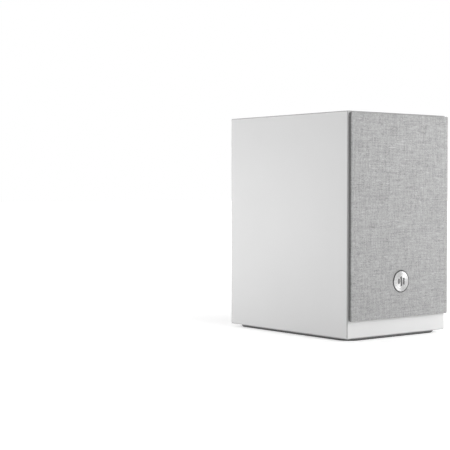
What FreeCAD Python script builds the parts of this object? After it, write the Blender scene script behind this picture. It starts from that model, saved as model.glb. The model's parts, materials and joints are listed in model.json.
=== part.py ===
"""Powered two-way bookshelf loudspeaker, 239 mm tall, built as an assembly of separate pieces.

Frame: +Z up, origin on the floor under the middle of the cabinet, baffle facing -Y, +X to the
right of somebody facing the baffle. Lengths are in millimetres, angles in degrees.
"""
import FreeCAD, Part
import math
import os
import Sketcher

DRIVING_SIZES = {
    # cabinet
    "cabinet_width": 149.0,
    "cabinet_depth": 192.0,
    "cabinet_height": 236.0,
    "base_height": 3.0,
    "base_side_inset": 5.0,
    "base_end_inset": 3.5,
    "base_corner": 16.0,
    "pad_thickness": 1.0,
    "pad_inset": 1.0,
    "wall": 12.0,
    "baffle_thickness": 18.0,
    "edge_radius": 1.2,
    "wadding_thickness": 8.0,
    # grille
    "grille_stand": 5.0,
    "grille_gap": 0.4,
    "grille_side_inset": 0.9,
    "grille_top_inset": 1.4,
    "grille_bottom_inset": 18.4,
    "grille_rail": 10.0,
    "cloth_thickness": 0.6,
    "badge_level": 60.1,
    "badge_radius": 11.8,
    "badge_rim": 0.7,
    "magnet_radius": 4.0,
    "magnet_thickness": 2.2,
    # woofer
    "woofer_level": 107.0,
    "woofer_rebate": 9.0,
    "woofer_flange": 3.0,
    "woofer_radius": 58.0,
    "woofer_opening": 50.0,
    "cone_radius": 41.0,
    "roll_width": 8.0,
    "coil_radius": 12.9,
    "woofer_magnet_radius": 35.0,
    # tweeter
    "tweeter_level": 201.0,
    "tweeter_rebate": 4.0,
    "tweeter_flange": 3.0,
    "tweeter_radius": 30.0,
    "tweeter_opening": 24.8,
    "dome_radius": 12.6,
    # reflex port
    "port_level": 195.0,
    "port_radius": 17.0,
    "port_wall": 2.5,
    "port_flange_radius": 27.5,
    "port_length": 86.0,
    # amplifier panel and what it carries
    "panel_width": 110.0,
    "panel_low": 21.0,
    "panel_high": 149.0,
    "panel_thickness": 2.4,
    "panel_cutout_margin": 8.0,
    "panel_corner": 4.0,
    "panel_screw_inset": 4.0,
    "board_depth": 12.4,
    "board_thickness": 1.6,
    "inlet_x": 24.0,
    "inlet_level": 47.0,
    "rocker_x": -24.0,
    "rocker_tilt": 11.0,
    "knob_x": -24.0,
    "knob_level": 125.0,
    "knob_radius": 11.5,
    "button_x": 4.0,
    "phono_x": 36.0,
    "phono_pitch": 16.0,
    "posts_x": -18.0,
    "posts_level": 87.0,
    "post_pitch": 19.0,
    "cable_radius": 1.3,
}

FULL_TURN = 360.0
DIAGONAL = math.sqrt(0.5)
ORIGIN = -1  # geometry index of a sketch's own origin
UP = FreeCAD.Vector(0, 0, 1)


class Dim:
    """A length held as a number and as the sheet expression that drives it."""

    def __init__(self, value, text):
        self.value = float(value)
        self.text = text

    def __add__(self, other):
        other = as_dim(other)
        return Dim(self.value + other.value, "(%s + %s)" % (self.text, other.text))

    def __sub__(self, other):
        other = as_dim(other)
        return Dim(self.value - other.value, "(%s - %s)" % (self.text, other.text))

    def __mul__(self, other):
        other = as_dim(other)
        return Dim(self.value * other.value, "(%s * %s)" % (self.text, other.text))

    def __truediv__(self, other):
        other = as_dim(other)
        return Dim(self.value / other.value, "(%s / %s)" % (self.text, other.text))

    def __neg__(self):
        return self * -1

    def __radd__(self, other):
        return as_dim(other) + self

    def __rsub__(self, other):
        return as_dim(other) - self

    def __rmul__(self, other):
        return as_dim(other) * self

    def root(self):
        return Dim(math.sqrt(self.value), "sqrt(%s)" % self.text)


def as_dim(length):
    """A plain number becomes a Dim whose expression is the number itself."""
    if isinstance(length, Dim):
        return length
    return Dim(length, "(%.6f)" % length)


class Sizes:
    """The driving spreadsheet; reading an alias as an attribute gives its Dim."""

    def __init__(self, doc, values):
        self.values = values
        sheet = doc.addObject("Spreadsheet::Sheet", "Sizes")
        for row, (alias, value) in enumerate(values.items(), start=1):
            sheet.set("A%d" % row, alias)
            sheet.set("B%d" % row, "%g" % value)
            sheet.setAlias("B%d" % row, alias)

    def __getattr__(self, alias):
        return Dim(self.values[alias], "Sizes." + alias)


DOC = FreeCAD.newDocument("BookshelfSpeaker")
size = Sizes(DOC, DRIVING_SIZES)
DOC.recompute()

# Main planes of the speaker.
front = -size.cabinet_depth / 2
rear = size.cabinet_depth / 2
bottom = size.base_height
top = size.base_height + size.cabinet_height
half_width = size.cabinet_width / 2
inner_side = half_width - size.wall
panel_face = rear + size.panel_thickness


# ---------------------------------------------------------------- outlines


class Circle:
    """A round outline in a sketch."""

    def __init__(self, x, y, radius):
        self.x = as_dim(x)
        self.y = as_dim(y)
        self.radius = as_dim(radius)


def via(x, y):
    """A point that an arc passes through, listed between the arc's two ends."""
    return (x, y, "via")


def is_via(point):
    return len(point) == 3


def rectangle(left, right, low, high):
    return [(left, low), (right, low), (right, high), (left, high)]


def rectangle_about(x, y, reach_x, reach_y):
    """A rectangle that reaches equally far each way from its centre."""
    return rectangle(x - reach_x, x + reach_x, y - reach_y, y + reach_y)


def rounded_rectangle(left, right, low, high, radius):
    """A rectangle with quarter-circle corners."""
    cut = radius * (1 - DIAGONAL)
    return [
        (left + radius, low), (right - radius, low), via(right - cut, low + cut),
        (right, low + radius), (right, high - radius), via(right - cut, high - cut),
        (right - radius, high), (left + radius, high), via(left + cut, high - cut),
        (left, high - radius), (left, low + radius), via(left + cut, low + cut),
    ]


def crown_via(radius, crown, rim):
    """Middle point of the arc from (0, crown) to (radius, rim) that crosses the axis squarely."""
    rise = as_dim(rim) - crown
    curvature = (radius * radius + rise * rise) / (rise * 2)
    sag = curvature - (curvature * curvature - radius * radius / 4).root()
    return via(radius / 2, crown + sag)


def hold(sketch, constraint, length):
    """Adds a sketch constraint whose value the sheet drives."""
    number = sketch.addConstraint(constraint)
    sketch.setExpression("Constraints[%d]" % number, length.text)


def hold_point(sketch, index, end, point):
    for kind, length in zip(("DistanceX", "DistanceY"), point):
        length = as_dim(length)
        hold(sketch, Sketcher.Constraint(kind, ORIGIN, 1, index, end, length.value), length)


def vector(point):
    return FreeCAD.Vector(as_dim(point[0]).value, as_dim(point[1]).value, 0)


def draw_circle(sketch, circle):
    centre = (circle.x, circle.y)
    index = sketch.addGeometry(Part.Circle(vector(centre), UP, circle.radius.value), False)
    hold_point(sketch, index, 3, centre)
    hold(sketch, Sketcher.Constraint("Radius", index, circle.radius.value), circle.radius)


def draw_arc(sketch, start, middle, end):
    """An arc held to its middle point; returns its index and which end is its start."""
    index = sketch.addGeometry(Part.Arc(vector(start), vector(middle), vector(end)), False)
    mark = sketch.addGeometry(Part.Point(vector(middle)), True)
    hold_point(sketch, mark, 1, middle)
    sketch.addConstraint(Sketcher.Constraint("PointOnObject", mark, 1, index))
    forward = sketch.getPoint(index, 1).distanceToPoint(vector(start)) < 1e-6
    return (index, 1, 2) if forward else (index, 2, 1)


def draw_outline(sketch, outline):
    """A closed outline of lines and arcs, with every corner held to the sheet."""
    edges = []
    count = len(outline)
    for step, point in enumerate(outline):
        if is_via(point):
            continue
        following = outline[(step + 1) % count]
        if is_via(following):
            end = outline[(step + 2) % count]
            edges.append((point, draw_arc(sketch, point, following, end)))
        else:
            line = Part.LineSegment(vector(point), vector(following))
            edges.append((point, (sketch.addGeometry(line, False), 1, 2)))
    for step, (corner, (index, start, end)) in enumerate(edges):
        hold_point(sketch, index, start, corner)
        following, following_start, _ = edges[(step + 1) % len(edges)][1]
        sketch.addConstraint(Sketcher.Constraint("Coincident", index, end, following, following_start))


# ---------------------------------------------------------------- pieces


class Piece:
    """One PartDesign body, built feature by feature, with its own label and placement."""

    def __init__(self, label, at=(0, 0, 0)):
        self.body = DOC.addObject("PartDesign::Body", label)
        self.body.Label = label
        self.body.AllowCompound = True
        place(self.body, at)

    def origin_feature(self, role):
        return [item for item in self.body.Origin.OriginFeatures if item.Role == role][0]

    def sketch(self, plane, outlines, level=0):
        """A sketch on an origin plane, moved along the plane's normal to the level."""
        drawing = self.body.newObject("Sketcher::SketchObject", self.body.Label + "_sketch")
        drawing.AttachmentSupport = [(self.origin_feature(plane + "_Plane"), "")]
        drawing.MapMode = "FlatFace"
        drawing.setExpression("AttachmentOffset.Base.z", as_dim(level).text)
        for outline in outlines:
            if isinstance(outline, Circle):
                draw_circle(drawing, outline)
            else:
                draw_outline(drawing, outline)
        return drawing

    def feature(self, kind, sketch):
        made = self.body.newObject("PartDesign::" + kind, self.body.Label + "_" + kind.lower())
        made.Profile = sketch
        return made

    def pad(self, plane, outlines, low, high):
        """Adds material between two levels of the world axis that is square to the plane."""
        level = -as_dim(high) if plane == "XZ" else low
        pad = self.feature("Pad", self.sketch(plane, outlines, level))
        pad.setExpression("Length", (as_dim(high) - low).text)
        return self

    def pocket(self, plane, outlines, low, high):
        """Removes material between two levels of the world axis that is square to the plane."""
        level = -as_dim(low) if plane == "XZ" else high
        pocket = self.feature("Pocket", self.sketch(plane, outlines, level))
        pocket.setExpression("Length", (as_dim(high) - low).text)
        return pocket

    def turn(self, outline, axis="Y"):
        """Revolves an outline of (radius, distance along the axis) about the Y or Z axis."""
        sketch = self.sketch("XY" if axis == "Y" else "XZ", [outline])
        turning = self.feature("Revolution", sketch)
        turning.ReferenceAxis = (sketch, ["V_Axis"])
        turning.Angle = FULL_TURN
        return self

    def repeat(self, feature, axis, count):
        """Repeats one feature evenly around an origin axis."""
        pattern = self.body.newObject("PartDesign::PolarPattern", self.body.Label + "_pattern")
        pattern.Originals = [feature]
        pattern.Axis = (self.origin_feature(axis + "_Axis"), [""])
        pattern.Angle = FULL_TURN
        pattern.Occurrences = count
        self.body.Tip = pattern
        return self

    def dress(self, kind, prop, length, choose):
        """Fillets or chamfers the edges whose centres the test picks out."""
        DOC.recompute()
        base = self.body.Tip
        names = [
            "Edge%d" % number
            for number, edge in enumerate(base.Shape.Edges, start=1)
            if choose(edge.CenterOfMass)
        ]
        dressing = self.body.newObject("PartDesign::" + kind, self.body.Label + "_" + kind.lower())
        dressing.Base = (base, names)
        dressing.setExpression(prop, as_dim(length).text)
        return self

    def fillet(self, radius, choose):
        return self.dress("Fillet", "Radius", radius, choose)

    def chamfer(self, length, choose):
        return self.dress("Chamfer", "Size", length, choose)


def place(item, at):
    for axis, length in zip("xyz", at):
        item.setExpression("Placement.Base." + axis, as_dim(length).text)


def slab(label, plane, outlines, low, high, at=(0, 0, 0)):
    """A piece of even thickness between two levels."""
    return Piece(label, at).pad(plane, outlines, low, high)


def turned(label, outline, at=(0, 0, 0), axis="Y"):
    """A piece turned about its own axis."""
    return Piece(label, at).turn(outline, axis)


def ring(inner, outer, low, high):
    """Section of a plain ring; an inner radius of zero makes a disc."""
    return rectangle(inner, outer, low, high)


def group(label, bodies):
    """Several like solids that share one node."""
    compound = DOC.addObject("Part::Compound", label)
    compound.Label = label
    compound.Links = bodies
    return compound


def corners(across, up, x=0, y=0):
    """Four points set evenly about (x, y)."""
    return [(x + sx * across, y + sy * up) for sx in (-1, 1) for sy in (-1, 1)]


def screws(label, places, head_radius, head_height, shaft_radius, shaft_length, seat, facing):
    """Pan-head screws along Y, heads on the seat plane, each with a cross recess."""
    made = []
    slot_reach = head_radius * 0.62
    slot_half_width = 0.35
    for number, (x, z) in enumerate(places, start=1):
        crown = seat + facing * head_height
        tip = seat - facing * shaft_length
        outline = [
            (0, crown), (head_radius * 0.8, crown), (head_radius, crown - facing * head_height * 0.5),
            (head_radius, seat), (shaft_radius, seat), (shaft_radius, tip), (0, tip),
        ]
        screw = turned("%s_%d" % (label, number), outline, (x, 0, z))
        slot_low = crown if facing < 0 else crown - head_height * 0.5
        for reach_x, reach_z in ((slot_reach, slot_half_width), (slot_half_width, slot_reach)):
            slot = rectangle_about(0, 0, reach_x, reach_z)
            screw.pocket("XZ", [slot], slot_low, slot_low + head_height * 0.5)
        made.append(screw.body)
    return group(label, made)


# ---------------------------------------------------------------- cabinet


# Screws sit on the diagonals of each driver's flange, magnets just inside the middle of a rail.
woofer_screw_ring = 54.6 * DIAGONAL
tweeter_screw_ring = 27.4 * DIAGONAL
magnet_inset = size.grille_rail * 0.55
grille_magnet_x = half_width - size.grille_side_inset - magnet_inset
grille_magnet_levels = (
    bottom + size.grille_bottom_inset + magnet_inset,
    top - size.grille_top_inset - magnet_inset,
)
grille_magnet_places = [
    (side * grille_magnet_x, level) for side in (-1, 1) for level in grille_magnet_levels
]
panel_screw_x = size.panel_width / 2 - size.panel_screw_inset
panel_screw_levels = (
    size.panel_low + size.panel_screw_inset,
    (size.panel_low + size.panel_high) / 2,
    size.panel_high - size.panel_screw_inset,
)
panel_screw_places = [(side * panel_screw_x, level) for side in (-1, 1) for level in panel_screw_levels]


def front_baffle():
    back = front + size.baffle_thickness
    outline = rectangle(-half_width, half_width, bottom, top)
    baffle = slab("front_baffle", "XZ", [outline], front, back)
    baffle.fillet(size.edge_radius, lambda centre: centre.y < back.value - 1)
    drivers = (
        (size.woofer_level, size.woofer_radius, size.woofer_rebate, size.woofer_opening),
        (size.tweeter_level, size.tweeter_radius, size.tweeter_rebate, size.tweeter_opening),
    )
    for level, radius, depth, opening in drivers:
        baffle.pocket("XZ", [Circle(0, level, radius + 0.4)], front, front + depth)
        baffle.pocket("XZ", [Circle(0, level, opening)], front, back)
    magnets = [Circle(x, z, size.magnet_radius + 0.1) for x, z in grille_magnet_places]
    baffle.pocket("XZ", magnets, front, front + size.magnet_thickness + 0.1)
    pilots = []
    for level, reach, radius in (
        (size.woofer_level, woofer_screw_ring, 1.7),
        (size.tweeter_level, tweeter_screw_ring, 1.3),
    ):
        pilots += [Circle(x, z, radius) for x, z in corners(reach, reach, 0, level)]
    baffle.pocket("XZ", pilots, front, back - 1)
    return baffle.body


def rear_panel():
    inside = rear - size.wall
    outline = rectangle(-half_width, half_width, bottom, top)
    panel = slab("rear_panel", "XZ", [outline], inside, rear)
    panel.fillet(size.edge_radius, lambda centre: centre.y > inside.value + 1)
    margin = size.panel_cutout_margin
    window = rounded_rectangle(
        margin - size.panel_width / 2, size.panel_width / 2 - margin,
        size.panel_low + margin, size.panel_high - margin, size.panel_corner,
    )
    port_hole = Circle(0, size.port_level, port_spigot + 0.2)
    panel.pocket("XZ", [window, port_hole], inside, rear)
    panel.pocket("XZ", [Circle(x, z, 1.6) for x, z in panel_screw_places], inside + 1, rear)
    return panel.body


def side_panels():
    """Left and right walls between the baffle and the rear panel."""
    made = []
    middle = (top.value + bottom.value) / 2
    reach = (top.value - bottom.value) / 2
    for label, side in (("left_side_panel", -1), ("right_side_panel", 1)):
        outer = side * half_width
        inner = side * inner_side
        low, high = (outer, inner) if side < 0 else (inner, outer)
        outline = rectangle(low, high, bottom, top)
        panel = slab(label, "XZ", [outline], front + size.baffle_thickness, rear - size.wall)

        def on_outer_corner(centre):
            at_end = abs(abs(centre.z - middle) - reach) < 0.1
            return at_end and abs(centre.x - outer.value) < 0.1

        panel.fillet(size.edge_radius, on_outer_corner)
        made.append(panel.body)
    return made


def level_panels():
    """Top and bottom of the cabinet, between the side panels."""
    made = []
    for label, low in (("top_panel", top - size.wall), ("bottom_panel", bottom)):
        outline = rectangle(-inner_side, inner_side, front + size.baffle_thickness, rear - size.wall)
        made.append(slab(label, "XY", [outline], low, low + size.wall).body)
    return made


def base_pieces():
    """Dark plinth plate under the cabinet and the rubber pad that it stands on."""
    reach_x = half_width - size.base_side_inset
    reach_y = rear - size.base_end_inset
    plate = rounded_rectangle(-reach_x, reach_x, -reach_y, reach_y, size.base_corner)
    reach_x = reach_x - size.pad_inset
    reach_y = reach_y - size.pad_inset
    pad = rounded_rectangle(-reach_x, reach_x, -reach_y, reach_y, size.base_corner - size.pad_inset)
    return [
        slab("base_plate", "XY", [plate], size.pad_thickness, bottom).body,
        slab("base_pad", "XY", [pad], 0, size.pad_thickness).body,
    ]


def damping_wadding():
    """Acoustic wadding against both side walls."""
    made = []
    for side in (-1, 1):
        wall = side * inner_side
        face = side * (inner_side - size.wadding_thickness)
        low, high = (wall, face) if side < 0 else (face, wall)
        outline = rectangle(low, high, bottom + size.wall + 4, size.woofer_level + 60)
        made.append(slab("wadding_sheet", "XZ", [outline], front + 30, rear - 30).body)
    return group("damping_wadding", made)


# ---------------------------------------------------------------- woofer


woofer_axis = (0, 0, size.woofer_level)
woofer_seat = front + size.woofer_rebate
woofer_face = woofer_seat - size.woofer_flange
spider_seat = woofer_seat + 27.8
basket_back = woofer_seat + 39
gap_plate_back = basket_back + 4
woofer_magnet_back = gap_plate_back + 14
cone_neck = woofer_seat + 18.5
roll_outer = size.cone_radius + size.roll_width


def woofer_basket():
    """Pressed steel basket: flange, windowed wall, spider ledge and the plate the motor sits on."""
    wall = size.woofer_opening - 0.6
    outline = [
        (wall - 1.2, woofer_face), (size.woofer_radius, woofer_face), (size.woofer_radius, woofer_seat),
        (wall, woofer_seat), (38.6, woofer_seat + 27), (38.6, spider_seat + 1.2),
        (34.2, spider_seat + 1.2), (34.2, basket_back), (20, basket_back), (20, basket_back - 2),
        (33, basket_back - 2), (33, spider_seat), (37.2, spider_seat), (37.4, woofer_seat + 27),
    ]
    basket = turned("woofer_basket", outline, woofer_axis)
    basket.pocket("XZ", [Circle(x, z, 1.8) for x, z in corners(woofer_screw_ring, woofer_screw_ring)],
                  woofer_face, woofer_seat)
    window = rectangle(woofer_seat + 4, woofer_seat + 24, -12, 12)
    return basket.repeat(basket.pocket("YZ", [window], 30, 56), "Y", 6).body


def woofer_surround():
    """Rubber half-roll between the cone and the basket flange."""
    skin = 0.6
    middle = size.cone_radius + size.roll_width / 2
    crest = woofer_face - size.roll_width * 0.5
    outline = [
        (size.cone_radius - 2.4, woofer_face - skin), (size.cone_radius, woofer_face - skin),
        via(middle, crest), (roll_outer, woofer_face - skin), (roll_outer + 2.2, woofer_face - skin),
        (roll_outer + 2.2, woofer_face - 0.05), (roll_outer - skin, woofer_face - 0.05),
        via(middle, crest + skin), (size.cone_radius + skin, woofer_face - 0.05),
        (size.cone_radius - 2.4, woofer_face - 0.05),
    ]
    return turned("woofer_surround", outline, woofer_axis).body


def woofer_cone():
    """Coated paper cone with a flat rim under the surround and a neck on the voice coil."""
    rim = woofer_face
    outline = [
        (size.cone_radius - 0.2, rim), (size.cone_radius - 0.2, rim + 0.6),
        (size.cone_radius - 2.2, rim + 0.6),
        via((size.cone_radius + size.coil_radius) / 2 - 1.2, (rim + cone_neck) / 2 + 0.4),
        (size.coil_radius + 0.1, cone_neck + 0.9), (size.coil_radius + 0.1, cone_neck),
        via((size.cone_radius + size.coil_radius) / 2 - 1.2, (rim + cone_neck) / 2 - 0.4),
        (size.cone_radius - 2.4, rim),
    ]
    return turned("woofer_cone", outline, woofer_axis).body


def dome_shell(radius, crown, rim, skin):
    """Section of a thin domed shell that is closed on the axis."""
    return [
        (0, crown), crown_via(radius, crown, rim), (radius, rim), (radius - skin, rim),
        crown_via(radius - skin, crown + skin, rim), (0, crown + skin),
    ]


def woofer_dust_cap():
    cap_radius = as_dim(16.0)
    rim = cone_neck - 2.9
    return turned("woofer_dust_cap", dome_shell(cap_radius, rim - 5.5, rim, 0.6), woofer_axis).body


def woofer_voice_coil():
    """Aluminium former with its copper winding in the magnet gap."""
    former = size.coil_radius - 0.4
    outline = [
        (former, cone_neck - 1), (size.coil_radius, cone_neck - 1), (size.coil_radius, basket_back - 3),
        (size.coil_radius + 0.7, basket_back - 3), (size.coil_radius + 0.7, basket_back + 7),
        (former, basket_back + 7),
    ]
    return turned("woofer_voice_coil", outline, woofer_axis).body


def woofer_spider():
    """Corrugated fabric spider that centres the coil: five waves between the former and the ledge."""
    waves = 5
    inner = size.coil_radius + 0.1
    outer = as_dim(32.6)
    pitch = (outer - inner) / (2 * waves)
    face = spider_seat - 0.6
    back = spider_seat - 0.1
    ahead = [(inner, face)]
    behind = [(inner, back)]
    for step in range(2 * waves):
        swing = 1 if step % 2 else -1
        for line, level in ((ahead, face), (behind, back)):
            line.append(via(inner + pitch * (step + 0.5), level + swing))
            line.append((inner + pitch * (step + 1), level))
    outline = ahead + [(36.8, face), (36.8, back)] + behind[::-1]
    return turned("woofer_spider", outline, woofer_axis).body


def woofer_motor():
    """Top plate, ferrite ring and yoke with its vented pole."""
    pole = size.coil_radius - 1.0
    plate = ring(size.coil_radius + 1.3, size.woofer_magnet_radius - 2, basket_back, gap_plate_back)
    ferrite = ring(18, size.woofer_magnet_radius, gap_plate_back, woofer_magnet_back)
    yoke = [
        (4, basket_back - 0.5), (pole, basket_back - 0.5), (pole, woofer_magnet_back),
        (size.woofer_magnet_radius - 2, woofer_magnet_back),
        (size.woofer_magnet_radius - 2, woofer_magnet_back + 5), (4, woofer_magnet_back + 5),
    ]
    return [
        turned("woofer_top_plate", plate, woofer_axis).body,
        turned("woofer_magnet", ferrite, woofer_axis).body,
        turned("woofer_yoke", yoke, woofer_axis).body,
    ]


def woofer_terminals():
    """Phenolic block on the lower wall of the basket with two solder tabs."""
    back = basket_back - 1
    block = slab("woofer_terminals", "XZ", [rectangle(-8, 8, -38, -34.3)], back - 5, back, woofer_axis)
    tabs = [rectangle(x - 1.4, x + 1.4, -36.8, -36) for x in (-4, 4)]
    return block.pad("XZ", tabs, back - 1, back + 7).body


def woofer_screws():
    places = corners(woofer_screw_ring, woofer_screw_ring, 0, size.woofer_level)
    return screws("woofer_screws", places, 3.0, 1.6, 1.6, 10, woofer_face, -1)


# ---------------------------------------------------------------- tweeter


tweeter_axis = (0, 0, size.tweeter_level)
tweeter_seat = front + size.tweeter_rebate
tweeter_face = tweeter_seat - size.tweeter_flange
diaphragm = tweeter_seat + 2.7
tweeter_motor_face = diaphragm + 0.5


def tweeter_faceplate():
    """Moulded faceplate with a flared mouth and a boss that clamps the diaphragm."""
    boss = size.tweeter_opening - 0.5
    outline = [
        (24.6, tweeter_face), (size.tweeter_radius, tweeter_face), (size.tweeter_radius, tweeter_seat),
        (boss, tweeter_seat), (boss, diaphragm - 0.1), (16.2, diaphragm - 0.1), (16.2, tweeter_seat + 0.8),
        via(18.6, tweeter_seat - 1.3),
    ]
    plate = turned("tweeter_faceplate", outline, tweeter_axis)
    holes = corners(tweeter_screw_ring, tweeter_screw_ring)
    plate.pocket("XZ", [Circle(x, z, 1.4) for x, z in holes], tweeter_face, tweeter_seat)
    plate.pocket("XZ", [Circle(x, z, 2.4) for x, z in holes], tweeter_face, tweeter_face + 1.4)
    return plate.body


def tweeter_diaphragm():
    """Silk dome, its small roll surround and the voice coil behind it."""
    crown = diaphragm - 3.9
    roll_out = size.dome_radius + 2.6
    middle = size.dome_radius + 1.4
    surround = [
        (size.dome_radius + 0.1, diaphragm), via(middle, diaphragm - 0.9), (roll_out, diaphragm),
        (roll_out + 2.2, diaphragm), (roll_out + 2.2, diaphragm + 0.4), (roll_out - 0.3, diaphragm + 0.4),
        via(middle, diaphragm - 0.5), (size.dome_radius + 0.1, diaphragm + 0.4),
    ]
    former = size.dome_radius - 0.4
    coil = [
        (former, diaphragm), (size.dome_radius, diaphragm), (size.dome_radius, diaphragm + 1),
        (size.dome_radius + 0.2, diaphragm + 1), (size.dome_radius + 0.2, diaphragm + 4.5),
        (former, diaphragm + 4.5),
    ]
    return [
        turned("tweeter_dome", dome_shell(size.dome_radius, crown, diaphragm, 0.3), tweeter_axis).body,
        turned("tweeter_surround", surround, tweeter_axis).body,
        turned("tweeter_voice_coil", coil, tweeter_axis).body,
    ]


def tweeter_motor():
    plate_back = tweeter_motor_face + 3
    magnet_back = plate_back + 8
    pole = size.dome_radius - 1.1
    body = size.tweeter_opening - 2.8
    yoke = [
        (0, tweeter_motor_face + 0.5), (pole, tweeter_motor_face + 0.5), (pole, magnet_back),
        (body, magnet_back), (body, magnet_back + 3), (0, magnet_back + 3),
    ]
    plate = ring(size.dome_radius + 0.8, body, tweeter_motor_face, plate_back)
    return [
        turned("tweeter_top_plate", plate, tweeter_axis).body,
        turned("tweeter_magnet", ring(15.5, body, plate_back, magnet_back), tweeter_axis).body,
        turned("tweeter_yoke", yoke, tweeter_axis).body,
    ]


def tweeter_screws():
    places = corners(tweeter_screw_ring, tweeter_screw_ring, 0, size.tweeter_level)
    return screws("tweeter_screws", places, 2.2, 1.3, 1.2, 10, tweeter_face + 1.4, -1)


# ---------------------------------------------------------------- grille


grille_face = front - size.grille_stand
grille_back = front - size.grille_gap
frame_face = grille_face + size.cloth_thickness
cloth_x = half_width - size.grille_side_inset
cloth_low = bottom + size.grille_bottom_inset
cloth_high = top - size.grille_top_inset
boss_back = frame_face + 1.8


def grille_frame():
    """Moulded frame: rails all round, a bar between the drivers and a tongue that holds the badge."""
    skin = size.cloth_thickness + 0.05
    frame_x = cloth_x - skin
    low = cloth_low + skin
    high = cloth_high - skin
    window_x = frame_x - size.grille_rail
    bar_low = (size.woofer_level + size.tweeter_level) / 2 + 8
    frame = slab("grille_frame", "XZ", [rectangle(-frame_x, frame_x, low, high)], frame_face, grille_back)
    frame.fillet(0.5, lambda centre: centre.y < frame_face.value + 0.1)
    frame.fillet(2.0, lambda centre: centre.y > grille_back.value - 0.1)
    lower = rounded_rectangle(-window_x, window_x, low + size.grille_rail, bar_low, 6)
    upper = rounded_rectangle(-window_x, window_x, bar_low + 12, high - size.grille_rail, 6)
    frame.pocket("XZ", [lower, upper], frame_face, grille_back)
    tongue = rectangle(-8, 8, low + size.grille_rail - 1, size.badge_level)
    frame.pad("XZ", [tongue], frame_face, boss_back)
    frame.pad("XZ", [Circle(0, size.badge_level, size.badge_radius + 1)], frame_face, boss_back)
    pockets = [Circle(x, z, size.magnet_radius + 0.05) for x, z in grille_magnet_places]
    frame.pocket("XZ", pockets, grille_back - size.magnet_thickness, grille_back)
    return frame.body


def grille_cloth():
    """Acoustic cloth over the front of the frame and round its edges."""
    skin = size.cloth_thickness
    edge = grille_back - 0.6
    outer = rectangle(-cloth_x, cloth_x, cloth_low, cloth_high)
    inner = rectangle(skin - cloth_x, cloth_x - skin, cloth_low + skin, cloth_high - skin)
    cloth = slab("grille_cloth", "XZ", [outer], grille_face, edge)
    cloth.fillet(0.8, lambda centre: centre.y < grille_face.value + 0.1)
    cloth.pocket("XZ", [inner], frame_face - 0.05, edge)
    cloth.pocket("XZ", [Circle(0, size.badge_level, size.badge_radius + 0.1)], grille_face, frame_face)
    return cloth.body


def magnets(label, low):
    """Four disc magnets, one near each corner of the grille."""
    made = []
    outline = [Circle(0, 0, size.magnet_radius)]
    high = low + size.magnet_thickness
    for x, z in grille_magnet_places:
        made.append(slab("magnet_disc", "XZ", outline, low, high, (x, 0, z)).body)
    return group(label, made)


badge_axis = (0, 0, size.badge_level)
badge_face = grille_face - 0.5
badge_bars = ((-3.7, 1.6), (0.0, 3.9), (3.7, 2.6))  # place across and half height of each bar
half_bar_width = as_dim(1.3)
bar_recess = 0.25


def badge_bar_outlines(half_bar):
    """Upright round-ended bars of differing height, like a level display."""
    made = []
    for x, reach in badge_bars:
        made.append([
            (x - half_bar, -reach), via(x, -reach - half_bar), (x + half_bar, -reach),
            (x + half_bar, reach), via(x, reach + half_bar), (x - half_bar, reach),
        ])
    return made


def badge_pieces():
    """Dark cup, spun metal disc in it and the bars let into the disc."""
    floor = frame_face - 0.3
    rim = size.badge_radius
    disc_radius = rim - size.badge_rim
    cup = [
        (0, frame_face - 0.05), (rim, frame_face - 0.05), (rim, grille_face - 0.3),
        (disc_radius + 0.2, grille_face - 0.3), (disc_radius + 0.2, floor), (0, floor),
    ]
    disc = [
        (0, floor), (disc_radius, floor), (disc_radius, badge_face + 0.3), (disc_radius - 0.3, badge_face),
        (0, badge_face),
    ]
    face = turned("badge_disc", disc, badge_axis)
    recess_floor = badge_face + bar_recess
    face.pocket("XZ", badge_bar_outlines(half_bar_width + 0.05), badge_face, recess_floor)
    bars = badge_bar_outlines(half_bar_width)
    inlay = slab("badge_inlay", "XZ", bars, badge_face + 0.03, recess_floor, badge_axis)
    return [turned("badge_bezel", cup, badge_axis).body, face.body, inlay.body]


# ---------------------------------------------------------------- rear


port_spigot = as_dim(24.0)  # radius of the tube's shoulder in the rear panel


def port_tube():
    """Reflex tube, flared at the mouth in the rear panel and a little at its inner end."""
    bore = size.port_radius
    outer = bore + size.port_wall
    lip = rear + 1.6
    inner_end = lip - size.port_length
    outline = [
        (bore + 7.4, lip), (size.port_flange_radius - 0.6, lip), (size.port_flange_radius, lip - 0.6),
        (size.port_flange_radius, rear), (port_spigot, rear), (port_spigot, rear - 9), (outer, rear - 15),
        (outer, inner_end + 5), (outer + 2.5, inner_end + 1), (outer + 2.5, inner_end),
        (outer + 1, inner_end),
        via(bore + 1.2, inner_end + 1.6), (bore, inner_end + 6),
        (bore, lip - 16), via(bore + 2.1, lip - 6.2),
    ]
    return turned("port_tube", outline, (0, 0, size.port_level)).body


phono_places = (
    (size.phono_x, size.knob_level),
    (size.phono_x - size.phono_pitch, size.knob_level),
    (size.phono_x, size.knob_level - size.phono_pitch),
)
post_sides = (("red", -1), ("black", 1))


def post_place(side):
    return size.posts_x + side * size.post_pitch / 2


def amp_panel():
    """Aluminium plate over the window in the rear panel, with a hole for each control and socket."""
    reach = size.panel_width / 2
    outline = rounded_rectangle(-reach, reach, size.panel_low, size.panel_high, size.panel_corner)
    holes = [Circle(x, z, 1.7) for x, z in panel_screw_places]
    holes += [Circle(x, z, 4.3) for x, z in phono_places]
    holes.append(Circle(size.knob_x, size.knob_level, 3.6))
    holes.append(Circle(size.button_x, size.knob_level, 4.4))
    holes.append(rectangle_about(size.inlet_x, size.inlet_level, 10.2, 6.2))
    holes.append(rectangle_about(size.rocker_x, size.inlet_level, 6.5, 9.5))
    holes.append(rectangle_about(size.posts_x, size.posts_level, 20.2, 9.2))
    return slab("amp_panel", "XZ", [outline] + holes, rear, panel_face).body


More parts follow.
